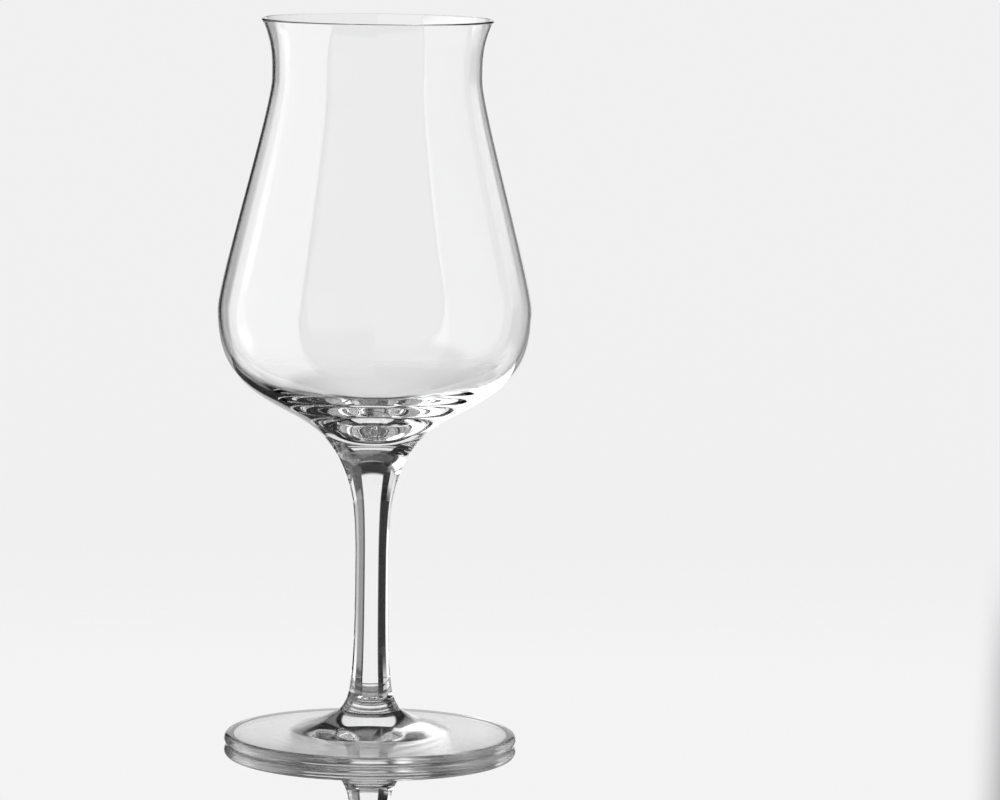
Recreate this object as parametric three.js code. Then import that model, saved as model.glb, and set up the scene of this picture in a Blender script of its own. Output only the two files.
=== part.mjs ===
// A stemmed beer glass of clear soda-lime glass: a blown bowl, a drawn stem and a pressed foot,
// fused end to end at two butt welds. Millimetres, +Z up. The glass stands on z = 0 and turns about Z.
import * as THREE from 'three';

// Heights. The bowl's side, from the widest ring up to the narrowest, takes what the others leave.
const glassHeight = 190; // table to the crest of the lip
const footHeight = 16.5; // table to the lower weld
const lowerStemLength = 33; // lower weld to the stem's waist
const upperStemLength = 15.5; // waist to the upper weld
const undersideRise = 23; // upper weld to the underside ring, where the flare opens into the bowl
const bellyRise = 26.5; // underside ring to the widest ring
const lipRise = 15.5; // narrowest ring to the crest of the lip

// Outer diameters of the rings that the outline passes through.
const footDiameter = 76.6;
const lowerWeldDiameter = 10.6;
const waistDiameter = 8.7;
const upperWeldDiameter = 10.6;
const undersideDiameter = 45.4;
const bellyDiameter = 81.8;
const neckDiameter = 54.8;
const lipDiameter = 60.2;

// Slopes of the outline at those rings, in degrees away from the axis on the way up.
const lowerWeldLean = -8;
const upperWeldLean = 11;
const undersideLean = 62.5;
const lipLean = 25;
const upright = 0;

// The bowl's wall, which thins from the gathered base up to the fire-polished lip.
const lipWall = 0.8;
const neckWall = 0.8;
const bellyWall = 0.85;
const undersideWall = 3.1;
const basinLean = 72; // slope of the inner face at the underside ring, flatter than the outer face's
const stubDepth = 17.8; // solid glass between the upper weld and the floor of the bowl

// The foot: a resting ring round a shallow dome, a rounded rim, a plate, an apron, a steeper skirt and a boss.
const footRimThickness = 3.1;
const restingRingWidth = 1.2;
const domeRise = 1.3;
const domeSlope = 1.8; // degrees that the dome rises off the resting ring
const plateSlope = 3.5; // degrees that the plate rises towards the axis
const apronDiameter = 43; // where the plate ends
const skirtDiameter = 26.4;
const skirtHeight = 6.5; // table to the ring between the apron and the skirt
const skirtLean = -70;
const kneeDiameter = 15.6;
const kneeHeight = 9.4; // table to the knee between the skirt and the boss
const kneeLean = -38;

// How far each stretch of outline holds its direction past a ring, as a share of the stretch's chord.
const tight = 0.12;
const slack = 0.22;
const fair = 0.3;
const full = 0.45;
const fuller = 0.55;
const fullest = 0.68;

// Facets: steps along each stretch of outline, and round the axis.
const longSteps = 9;
const shortSteps = 5;
const facets = 48;

const lowerWeldHeight = footHeight;
const waistHeight = lowerWeldHeight + lowerStemLength;
const upperWeldHeight = waistHeight + upperStemLength;
const undersideHeight = upperWeldHeight + undersideRise;
const bellyHeight = undersideHeight + bellyRise;
const neckHeight = glassHeight - lipRise;

// A ring of the outline: where it lies in the half plane of the axis, and which way the outline runs there.
function ring(radius, height, leanDegrees) {
  const lean = THREE.MathUtils.degToRad(leanDegrees);
  return {
    point: new THREE.Vector2(radius, height),
    along: new THREE.Vector2(Math.sin(lean), Math.cos(lean)),
    inward: new THREE.Vector2(-Math.cos(lean), Math.sin(lean)),
    leanDegrees,
  };
}

// The ring across a wall on its inner face, which runs as the outer face does unless it has a slope of its own.
function insideOf(outer, wall, leanDegrees = outer.leanDegrees) {
  const inner = outer.point.clone().addScaledVector(outer.inward, wall);
  return ring(inner.x, inner.y, leanDegrees);
}

// A smooth stretch of outline from one ring to the next.
function stretch(first, second, firstFullness, secondFullness) {
  const chord = first.point.distanceTo(second.point);
  return new THREE.CubicBezierCurve(
    first.point,
    first.point.clone().addScaledVector(first.along, firstFullness * chord),
    second.point.clone().addScaledVector(second.along, -secondFullness * chord),
    second.point,
  );
}

// A half round from the outer to the inner face of an edge, or from the lower to the upper.
function halfRound(centre, radius, startDegrees) {
  const start = THREE.MathUtils.degToRad(startDegrees);
  return new THREE.EllipseCurve(centre.x, centre.y, radius, radius, start, start + Math.PI);
}

function onAxis(height) {
  return new THREE.Vector2(0, height);
}

// Each piece has a glass of its own, so that one can be tinted without the others.
function clearGlass(colour) {
  return new THREE.MeshStandardMaterial({
    color: colour,
    roughness: 0.04,
    metalness: 0,
    transparent: true,
    opacity: 0.3,
  });
}

// Turns an outline, given as runs of points from the bottom of the axis to its top, into a solid.
function revolve(name, runs, material) {
  const outline = runs.flat().filter((point, index, all) => index === 0 || !point.equals(all[index - 1]));
  const geometry = new THREE.LatheGeometry(outline, facets).rotateX(Math.PI / 2);
  const mesh = new THREE.Mesh(geometry, material);
  mesh.name = name;
  return mesh;
}

const lowerWeld = ring(lowerWeldDiameter / 2, lowerWeldHeight, lowerWeldLean);
const waist = ring(waistDiameter / 2, waistHeight, upright);
const upperWeld = ring(upperWeldDiameter / 2, upperWeldHeight, upperWeldLean);

function makeFoot() {
  const rimRadius = footRimThickness / 2;
  const rimCentre = new THREE.Vector2(footDiameter / 2 - rimRadius, rimRadius);
  const domeCrown = ring(0, domeRise, 90);
  const restingEdge = ring(rimCentre.x - restingRingWidth, 0, 90 + domeSlope);
  const rim = halfRound(rimCentre, rimRadius, -90);
  const plateLean = plateSlope - 90;
  const plateOuter = ring(rimCentre.x, footRimThickness, plateLean);
  const plateRun = plateOuter.point.x - apronDiameter / 2;
  const plateRise = plateRun * Math.tan(THREE.MathUtils.degToRad(plateSlope));
  const plateInner = ring(apronDiameter / 2, footRimThickness + plateRise, plateLean);
  const skirt = ring(skirtDiameter / 2, skirtHeight, skirtLean);
  const knee = ring(kneeDiameter / 2, kneeHeight, kneeLean);
  return revolve('foot', [
    stretch(domeCrown, restingEdge, fair, fair).getPoints(shortSteps),
    rim.getPoints(longSteps),
    stretch(plateInner, skirt, slack, tight).getPoints(shortSteps),
    stretch(skirt, knee, tight, tight).getPoints(shortSteps),
    stretch(knee, lowerWeld, full, slack).getPoints(shortSteps),
    [onAxis(lowerWeldHeight)],
  ], clearGlass(0xf3f6f5));
}

function makeStem() {
  return revolve('stem', [
    [onAxis(lowerWeldHeight)],
    stretch(lowerWeld, waist, slack, fair).getPoints(longSteps),
    stretch(waist, upperWeld, fair, slack).getPoints(shortSteps),
    [onAxis(upperWeldHeight)],
  ], clearGlass(0xf3f6f5));
}

function makeBowl() {
  const underside = ring(undersideDiameter / 2, undersideHeight, undersideLean);
  const belly = ring(bellyDiameter / 2, bellyHeight, upright);
  const neck = ring(neckDiameter / 2, neckHeight, upright);
  const lipRadius = lipWall / 2;
  const lipCentre = ring(lipDiameter / 2 - lipRadius, glassHeight - lipRadius, lipLean);
  const lip = insideOf(lipCentre, -lipRadius);
  const floor = ring(0, upperWeldHeight + stubDepth, 90);

  const basin = insideOf(underside, undersideWall, basinLean);
  const innerBelly = insideOf(belly, bellyWall);
  const innerNeck = insideOf(neck, neckWall);
  const innerLip = insideOf(lip, lipWall);

  const outside = [
    stretch(upperWeld, underside, fuller, slack).getPoints(longSteps),
    stretch(underside, belly, full, full).getPoints(longSteps),
    stretch(belly, neck, tight, tight).getPoints(longSteps),
    stretch(neck, lip, fair, full).getPoints(shortSteps),
  ];
  const inside = [
    stretch(floor, basin, fair, fullest).getPoints(longSteps),
    stretch(basin, innerBelly, full, full).getPoints(longSteps),
    stretch(innerBelly, innerNeck, tight, tight).getPoints(longSteps),
    stretch(innerNeck, innerLip, fair, full).getPoints(shortSteps),
  ];
  return revolve('bowl', [
    [onAxis(upperWeldHeight)],
    ...outside,
    halfRound(lipCentre.point, lipRadius, -lipLean).getPoints(shortSteps),
    inside.flat().reverse(),
  ], clearGlass(0xf3f6f5));
}

const glass = new THREE.Group();
glass.add(makeFoot(), makeStem(), makeBowl());

export default glass;
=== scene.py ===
import math

import bpy
from mathutils import Euler, Matrix, Vector


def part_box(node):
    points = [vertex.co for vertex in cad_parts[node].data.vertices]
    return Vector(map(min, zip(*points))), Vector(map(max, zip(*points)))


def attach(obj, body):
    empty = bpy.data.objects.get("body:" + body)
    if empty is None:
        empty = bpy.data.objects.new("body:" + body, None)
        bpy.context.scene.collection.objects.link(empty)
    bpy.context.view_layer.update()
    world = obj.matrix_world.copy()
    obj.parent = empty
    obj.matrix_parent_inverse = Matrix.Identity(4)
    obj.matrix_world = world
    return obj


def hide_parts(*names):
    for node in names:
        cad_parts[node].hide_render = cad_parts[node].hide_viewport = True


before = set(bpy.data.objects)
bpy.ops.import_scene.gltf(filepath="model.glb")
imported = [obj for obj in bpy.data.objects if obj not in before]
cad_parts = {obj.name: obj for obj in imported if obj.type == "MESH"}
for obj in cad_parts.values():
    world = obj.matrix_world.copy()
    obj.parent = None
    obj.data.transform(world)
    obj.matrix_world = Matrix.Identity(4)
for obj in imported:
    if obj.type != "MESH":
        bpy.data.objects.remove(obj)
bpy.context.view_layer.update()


# The foot: a pressed plate of clear glass that the glass stands on.
# It rests on a flat ring inside its rounded rim, round a shallow dome, and rises in the middle
# through an apron, a steeper skirt and a slim boss, to which the stem is fused.

foot_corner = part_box("foot")[1]
foot_radius = foot_corner.x
lower_weld_height = foot_corner.z
lower_weld_radius = 0.0053
lower_weld_lean = -8
foot_rim_thickness = 0.0031
resting_ring_width = 0.0012
dome_rise = 0.0013
dome_slope = 1.8
plate_slope = 3.5
apron_radius = 0.0215
skirt_radius = 0.0132
skirt_height = 0.0065
skirt_lean = -70
knee_radius = 0.0078
knee_height = 0.0094
knee_lean = -38

# How far an outline holds its direction past a ring, as a share of the way to the next one.
corner = 0
tight = 0.12
slack = 0.22
fair = 0.3
quarter_round = 0.3905
full = 0.45
fuller = 0.55
fullest = 0.68

# Ways that an outline can run, in degrees from upright.
upright = 0
outwards = 90
inwards = -90

steps_per_stretch = 24
steps_round = 192
smooth_angle = 40
tolerance = 1e-6

glass_colour = (0.992, 0.994, 0.993, 1.0)
glass_index = 1.5


class Ring:
    """A ring that a turned outline passes through, and which way it runs there, in degrees from upright."""

    def __init__(self, radius, height, lean, before, after):
        self.place = Vector((radius, 0, height))
        self.lean = lean
        angle = math.radians(lean)
        self.along = Vector((math.sin(angle), 0, math.cos(angle)))
        self.before = before
        self.after = after

    def across(self, wall, lean, before, after):
        """The ring on the other face of a wall, where the outline comes back down at a lean of its own."""
        inward = Vector((-self.along.z, 0, self.along.x))
        place = self.place + inward * wall
        return Ring(place.x, place.z, lean - 180, before, after)


def round_edge(centre_radius, centre_height, edge_radius, lean, before, after):
    """A ring on a rounded edge, at the point where the outline leans that far."""
    angle = math.radians(lean)
    out = edge_radius * math.cos(angle)
    down = edge_radius * math.sin(angle)
    return Ring(centre_radius + out, centre_height - down, lean, before, after)


def turn_outline(name, rings):
    """Draws half of a section as a curve, spins it about the upright axis and closes it into one solid."""
    bpy.ops.object.select_all(action="DESELECT")
    bpy.ops.curve.primitive_bezier_curve_add()
    piece = bpy.context.object
    piece.name = name
    spline = piece.data.splines[0]
    spline.resolution_u = steps_per_stretch
    spline.bezier_points.add(len(rings) - len(spline.bezier_points))
    places = [ring.place for ring in rings]
    for index, (point, ring) in enumerate(zip(spline.bezier_points, rings)):
        last = places[max(index - 1, 0)]
        following = places[min(index + 1, len(places) - 1)]
        point.handle_left_type = "FREE"
        point.handle_right_type = "FREE"
        point.co = ring.place
        point.handle_left = ring.place - ring.along * ring.before * (ring.place - last).length
        point.handle_right = ring.place + ring.along * ring.after * (following - ring.place).length
    bpy.ops.object.convert(target="MESH")
    bpy.ops.object.mode_set(mode="EDIT")
    bpy.ops.mesh.select_all(action="SELECT")
    bpy.ops.mesh.spin(steps=steps_round, angle=math.tau, center=(0, 0, 0), axis=(0, 0, 1))
    bpy.ops.mesh.select_all(action="SELECT")
    bpy.ops.mesh.remove_doubles(threshold=tolerance)
    bpy.ops.mesh.normals_make_consistent(inside=False)
    bpy.ops.object.mode_set(mode="OBJECT")
    bpy.ops.object.shade_smooth_by_angle(angle=math.radians(smooth_angle))
    piece.matrix_world = Matrix.Identity(4)
    piece.data.name = name
    return piece


class Shade:
    """A value in a material. Arithmetic on it adds Math nodes to the material's tree."""

    def __init__(self, tree, socket=None):
        self.tree = tree
        self.socket = socket

    def node(self, kind, settings=None, inputs=None, output=0):
        """Adds a node with its settings, links or values on its inputs, and gives one of its outputs."""
        made = self.tree.nodes.new(kind)
        for name, value in (settings or {}).items():
            setattr(made, name, value)
        for name, value in (inputs or {}).items():
            if isinstance(value, Shade):
                self.tree.links.new(value.socket, made.inputs[name])
            else:
                made.inputs[name].default_value = value
        return Shade(self.tree, made.outputs[output] if len(made.outputs) else None)

    def maths(self, operation, first, second=0.0):
        """One Math node on two values or numbers."""
        return self.node("ShaderNodeMath", {"operation": operation}, {0: first, 1: second})

    def __add__(self, other):
        return self.maths("ADD", self, other)

    __radd__ = __add__

    def __sub__(self, other):
        return self.maths("SUBTRACT", self, other)

    def __rsub__(self, other):
        return self.maths("SUBTRACT", other, self)

    def __mul__(self, other):
        return self.maths("MULTIPLY", self, other)

    __rmul__ = __mul__

    def __pow__(self, other):
        return self.maths("POWER", self, other)

    def sine(self):
        return self.maths("SINE", self)

    def part(self, axis):
        """One part of a place: X, Y or Z."""
        return self.node("ShaderNodeSeparateXYZ", {}, {"Vector": self}, axis)

    def ramp(self, low, high):
        """Rises smoothly from 0 at low to 1 at high."""
        span = {"Value": self, "From Min": low, "From Max": high}
        return self.node("ShaderNodeMapRange", {"interpolation_type": "SMOOTHSTEP"}, span)

    def between(self, start, end, blur):
        """1 from start to end and 0 elsewhere, with soft edges."""
        return self.ramp(start - blur, start + blur) * (1 - self.ramp(end - blur, end + blur))

    def mix(self, first, second):
        """Blends two shaders, with this value as the share of the second."""
        return self.node("ShaderNodeMixShader", {}, {0: self, 1: first, 2: second})


def new_material(name):
    """An empty material, and the blank value that its nodes are added through."""
    material = bpy.data.materials.new(name)
    material.use_nodes = True
    material.node_tree.nodes.clear()
    return material, Shade(material.node_tree)


def clear_glass(name, relief, relief_height, haze):
    """Clear soda-lime glass, with the relief and the haze on its surface given as functions of the place."""
    material, blank = new_material(name)
    place = blank.node("ShaderNodeTexCoord", output="Object")
    bump = blank.node("ShaderNodeBump", {}, {"Height": relief(place), "Distance": relief_height})
    shader = blank.node(
        "ShaderNodeBsdfPrincipled",
        {},
        {
            "Base Color": glass_colour,
            "Roughness": haze(place),
            "IOR": glass_index,
            "Transmission Weight": 1.0,
            "Normal": bump,
        },
    )
    blank.node("ShaderNodeOutputMaterial", {}, {"Surface": shader})
    return material


def fused_glass(name):
    """The face inside a weld, where the glass is one and nothing shows."""
    material, blank = new_material(name)
    shader = blank.node("ShaderNodeBsdfTransparent")
    blank.node("ShaderNodeOutputMaterial", {}, {"Surface": shader})
    return material


def fuse(piece, weld_heights):
    """Gives the flat faces at the welds the fused glass, which light passes straight through."""
    piece.data.materials.append(fused_glass(piece.name + "_weld"))
    for face in piece.data.polygons:
        level = abs(face.normal.z) > 0.999
        if level and any(abs(face.center.z - weld) < tolerance for weld in weld_heights):
            face.material_index = 1


foot_rim_radius = foot_rim_thickness / 2
foot_rim_centre = foot_radius - foot_rim_radius
resting_edge = foot_rim_centre - resting_ring_width
plate_height = foot_rim_thickness + (foot_rim_centre - apron_radius) * math.tan(math.radians(plate_slope))
plate_lean = inwards + plate_slope

foot = turn_outline("pressed_foot", [
    Ring(0, dome_rise, outwards, corner, fair),
    Ring(resting_edge, 0, outwards + dome_slope, fair, corner),
    round_edge(foot_rim_centre, foot_rim_radius, foot_rim_radius, outwards, corner, quarter_round),
    round_edge(foot_rim_centre, foot_rim_radius, foot_rim_radius, upright, quarter_round, quarter_round),
    round_edge(foot_rim_centre, foot_rim_radius, foot_rim_radius, inwards, quarter_round, corner),
    Ring(apron_radius, plate_height, plate_lean, fair, slack),
    Ring(skirt_radius, skirt_height, skirt_lean, tight, tight),
    Ring(knee_radius, knee_height, knee_lean, tight, full),
    Ring(lower_weld_radius, lower_weld_height, lower_weld_lean, slack, corner),
    Ring(0, lower_weld_height, inwards, corner, corner),
])


def from_axis(place):
    """How far a place lies from the upright axis."""
    x = place.part("X")
    y = place.part("Y")
    return (x * x + y * y) ** 0.5


def pressed_relief(place):
    """Faint rings round the axis, left on the plate by the mould."""
    ring_spacing = 0.0031
    rings_start = (0.018, 0.026)
    rings_end = (0.030, 0.035)
    radius = from_axis(place)
    rings = (radius * (math.tau / ring_spacing)).sine()
    return rings * radius.ramp(*rings_start) * (1 - radius.ramp(*rings_end))


def pressed_haze(place):
    """Thin smears, and a slight haze outside the boss, where the glass met the mould."""
    smear_haze = 0.02
    mould_haze = 0.1
    boss_edge = (0.009, 0.016)
    smears = place.node("ShaderNodeTexNoise", {}, {"Vector": place, "Scale": 90.0, "Detail": 3.0})
    moulded = from_axis(place).ramp(*boss_edge)
    return smears.ramp(0.4, 0.8) * smear_haze + moulded * mould_haze


mould_ring_height = 0.0000015
foot.data.materials.append(clear_glass("pressed_glass", pressed_relief, mould_ring_height, pressed_haze))
fuse(foot, [lower_weld_height])
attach(foot, "root")
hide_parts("foot")


# The stem: a drawn rod of clear glass, slimmest at its waist.
# Its lower end is fused to the foot's boss and its upper end to the bowl, with a fine ring at each weld.

stem_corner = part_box("stem")[1]
upper_weld_height = stem_corner.z
upper_weld_radius = 0.0053
upper_weld_lean = 11
waist_radius = 0.00435
waist_height = 0.0495

stem = turn_outline("drawn_stem", [
    Ring(0, lower_weld_height, outwards, corner, corner),
    Ring(lower_weld_radius, lower_weld_height, lower_weld_lean, corner, slack),
    Ring(waist_radius, waist_height, upright, fair, fair),
    Ring(upper_weld_radius, upper_weld_height, upper_weld_lean, slack, corner),
    Ring(0, upper_weld_height, inwards, corner, corner),
])


def drawn_relief(place):
    """Fine lines along the stem, from drawing it out, and a raised ring at each weld."""
    stretched = place.node("ShaderNodeMapping", {}, {"Vector": place, "Scale": (900.0, 900.0, 25.0)})
    lines = place.node("ShaderNodeTexNoise", {}, {"Vector": stretched, "Scale": 1.0, "Detail": 1.0})
    height = place.part("Z")
    weld_width = 0.0005
    weld_rise = 8  # times the height of the drawn lines
    lower_weld = 1 - (height - lower_weld_height).ramp(0, weld_width)
    upper_weld = 1 - (upper_weld_height - height).ramp(0, weld_width)
    return lines + (lower_weld + upper_weld) * weld_rise


def drawn_haze(place):
    """A few thin smears."""
    smear_haze = 0.01
    smears = place.node("ShaderNodeTexNoise", {}, {"Vector": place, "Scale": 140.0, "Detail": 2.0})
    return smears.ramp(0.6, 0.85) * smear_haze


drawn_line_height = 0.000004
stem.data.materials.append(clear_glass("drawn_glass", drawn_relief, drawn_line_height, drawn_haze))
fuse(stem, [lower_weld_height, upper_weld_height])
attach(stem, "root")
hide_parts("stem")


# The bowl: a thin blown shell of clear glass with a round belly, a drawn-in neck and a flared lip.
# Its wall thickens towards the floor, and a solid flared stub under the floor is fused to the stem.

bowl_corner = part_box("bowl")[1]
belly_radius = bowl_corner.x
lip_height = bowl_corner.z
underside_radius = 0.0227
underside_height = 0.088
underside_lean = 62.5
belly_height = 0.1145
neck_radius = 0.0274
neck_height = 0.1745
lip_radius = 0.0301
lip_lean = 25
lip_wall = 0.0008
neck_wall = 0.0008
belly_wall = 0.00085
underside_wall = 0.0031
basin_lean = 72
stub_depth = 0.0178

lip_edge = lip_wall / 2
lip_centre = (lip_radius - lip_edge, lip_height - lip_edge, lip_edge)
underside = Ring(underside_radius, underside_height, underside_lean, slack, full)
belly = Ring(belly_radius, belly_height, upright, full, tight)
neck = Ring(neck_radius, neck_height, upright, tight, fair)

bowl = turn_outline("blown_bowl", [
    Ring(0, upper_weld_height, outwards, corner, corner),
    Ring(upper_weld_radius, upper_weld_height, upper_weld_lean, corner, fuller),
    underside,
    belly,
    neck,
    round_edge(*lip_centre, lip_lean, full, quarter_round),
    round_edge(*lip_centre, lip_lean - 90, quarter_round, quarter_round),
    round_edge(*lip_centre, lip_lean - 180, quarter_round, full),
    neck.across(neck_wall, neck.lean, fair, tight),
    belly.across(belly_wall, belly.lean, tight, full),
    underside.across(underside_wall, basin_lean, full, fullest),
    Ring(0, upper_weld_height + stub_depth, inwards, fair, corner),
])


def blown_relief(place):
    """Slow swells in the wall, longer up the bowl than round it."""
    stretched = place.node("ShaderNodeMapping", {}, {"Vector": place, "Scale": (45.0, 45.0, 14.0)})
    return place.node("ShaderNodeTexNoise", {}, {"Vector": stretched, "Scale": 1.0, "Detail": 1.0})


def blown_haze(place):
    """A few wide, thin smears."""
    smear_haze = 0.01
    smears = place.node("ShaderNodeTexNoise", {}, {"Vector": place, "Scale": 60.0, "Detail": 4.0})
    return smears.ramp(0.55, 0.85) * smear_haze


swell_height = 0.00002
bowl.data.materials.append(clear_glass("blown_glass", blown_relief, swell_height, blown_haze))
fuse(bowl, [upper_weld_height])
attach(bowl, "root")
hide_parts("bowl")


# The floor: a plain pale sheet that the glass stands on, matt except near the slope that the photograph was
# taken at, where it mirrors the foot. Light that leaves the glass finds a mirror under the foot and along
# the floor, though none towards the soft light, and light that was mirrored before always finds one.

floor_size = 30
floor_tone = (0.97, 0.97, 0.97, 1.0)
mirror_tone = (1.0, 1.0, 1.0, 1.0)
mirror_radius = 0.12
mirror_blur = 0.02

# Slopes between which the mirror comes and goes, and bearings at which it is left out, in degrees.
mirror_begins = (11.8, 11.1)
mirror_ends = (9.5, 8.05)
glass_mirror_begins = (16.3, 11.5)
matt_start = -108
matt_end = -72
matt_blur = 2


def bearing_of(place):
    """The bearing of a place from the upright axis, in degrees clockwise from straight behind the glass."""
    return place.maths("ARCTAN2", place.part("X"), place.part("Y")) * math.degrees(1)


def mirrored_before(blank):
    """1 for light that met a mirroring face on its way, and 0 for light that only passed through glass."""
    return blank.node("ShaderNodeLightPath", output="Glossy Depth").ramp(0.4, 0.6)


def shallower(steep, shallow):
    """Rises from 0 where light meets the floor at the steep angle to 1 at the shallow one, in degrees."""
    return facing.ramp(1 - math.sin(math.radians(steep)), 1 - math.sin(math.radians(shallow)))


bpy.ops.object.select_all(action="DESELECT")
bpy.ops.mesh.primitive_plane_add(size=floor_size)
floor = bpy.context.object
floor.name = "floor"
floor_material, blank = new_material("pale_floor")
matt = blank.node("ShaderNodeBsdfDiffuse", {}, {"Color": floor_tone})
mirror = blank.node("ShaderNodeBsdfGlossy", {}, {"Color": mirror_tone, "Roughness": 0.0})
facing = blank.node("ShaderNodeLayerWeight", {}, {"Blend": 0.5}, "Facing")
place = blank.node("ShaderNodeTexCoord", output="Object")
seen = blank.node("ShaderNodeLightPath", output="Is Camera Ray")
seen_mirror = shallower(*mirror_begins) * (1 - shallower(*mirror_ends))
under_foot = 1 - from_axis(place).ramp(mirror_radius - mirror_blur, mirror_radius + mirror_blur)
by_soft_light = bearing_of(place).between(matt_start, matt_end, matt_blur)
along_floor = shallower(*glass_mirror_begins) * (1 - by_soft_light)
glass_matt = (1 - along_floor) * (1 - under_foot) * (1 - mirrored_before(blank))
mirror_share = seen * seen_mirror + (1 - seen) * (1 - glass_matt)
blank.node("ShaderNodeOutputMaterial", {}, {"Surface": mirror_share.mix(matt, mirror)})
floor.data.materials.append(floor_material)


# The studio: a dim round tent with a pale backdrop straight behind the glass, a tall soft light on its left,
# cards behind it to both sides, a dim ceiling and some light from the room in front. The camera doesn't see
# the tent, and past it lies a plain pale room that lights the floor.

tent_radius = 0.9
tent_segments = 96
tent_rings = 48
tent_tone = 0.02
ceiling_tone = 0.12
ceiling_edge = (58, 64)
room_tone = 0.9
side_blur = 1.0
bottom_blur = 5
top_blur = 0.07
light_bounces = 96


def grey(tone):
    return (tone, tone, tone, 1.0)


world = bpy.data.worlds.new("room")
bpy.context.scene.world = world
world.use_nodes = True
world.node_tree.nodes.clear()
blank = Shade(world.node_tree)
room = blank.node("ShaderNodeBackground", {}, {"Color": grey(room_tone), "Strength": 1.0})
blank.node("ShaderNodeOutputWorld", {}, {"Surface": room})

bpy.ops.object.select_all(action="DESELECT")
bpy.ops.mesh.primitive_uv_sphere_add(segments=tent_segments, ring_count=tent_rings, radius=tent_radius)
tent = bpy.context.object
tent.name = "tent"
tent_material, blank = new_material("tent")
place = blank.node("ShaderNodeTexCoord", output="Object")
bearing = bearing_of(place)
rise = blank.maths("ARCSINE", place.part("Z") * (1 / tent_radius)) * math.degrees(1)
mirrored = mirrored_before(blank)


def panel(start, end, bottom, top):
    """A soft-edged patch of the tent between two bearings and two heights, all in degrees."""
    above = rise.ramp(bottom - bottom_blur, bottom + bottom_blur)
    over = rise.ramp(top * (1 - top_blur), top * (1 + top_blur))
    return bearing.between(start, end, side_blur) * above * (1 - over)


def glow(tone):
    """Light of one tone, which is held down to the room's where it is seen straight through the glass."""
    full_glow = blank.node("ShaderNodeEmission", {}, {"Color": grey(tone), "Strength": 1.0})
    if tone <= room_tone:
        return full_glow
    held_glow = blank.node("ShaderNodeEmission", {}, {"Color": grey(room_tone), "Strength": 1.0})
    return mirrored.mix(held_glow, full_glow)


light = rise.ramp(*ceiling_edge).mix(glow(tent_tone), glow(ceiling_tone))
for start, end, bottom, top, tone in [
    (-15.5, 17.5, -5, 22.5, room_tone),  # the backdrop
    (-60, -47, -5, 49, 1.2),  # the soft light's dimmer far edge
    (-47, -30, 15, 32, 0.8),  # a pale card past that edge
    (-124, -60, -5, 49, 1.8),  # the soft light
    (22, 40, -5, 14, 0.22),  # a dim card behind on the right
    (40, 60, -5, 16, 0.42),  # a paler one next to it
    (42, 60, 11, 26, 1.1),  # a bright one above that
    (125, 190, -5, 36, 0.62),  # the room in front on the right, up to the tent's seam
    (-190, -126, -5, 68, 0.5),  # the room in front on the left, up to the seam
    (-12, 41, 46, 70, 0.22),  # a dim card high up behind
]:
    light = panel(start, end, bottom, top).mix(light, glow(tone))
blank.node("ShaderNodeOutputMaterial", {}, {"Surface": light})
tent_material.cycles.emission_sampling = "NONE"
tent.data.materials.append(tent_material)
tent.visible_camera = False
tent.visible_diffuse = False
tent.visible_shadow = False

cycles = bpy.context.scene.cycles
cycles.max_bounces = light_bounces
cycles.glossy_bounces = light_bounces
cycles.transmission_bounces = light_bounces


# The camera: where the photograph was taken from, nearly level with the bowl, with a long lens.

camera_distance = 1.42038
camera_height = 0.258316
pan = 1.327
tilt = 6.711
roll = 0.794
focal_length = 197.55

bpy.ops.object.camera_add(location=(0, -camera_distance, camera_height))
camera = bpy.context.object
aim = Euler((math.radians(90 - tilt), 0, math.radians(-pan))).to_matrix()
camera.rotation_euler = (aim @ Matrix.Rotation(math.radians(roll), 3, "Z")).to_euler()
camera.data.lens = focal_length
bpy.context.scene.camera = camera
bpy.context.scene.view_settings.view_transform = "Standard"
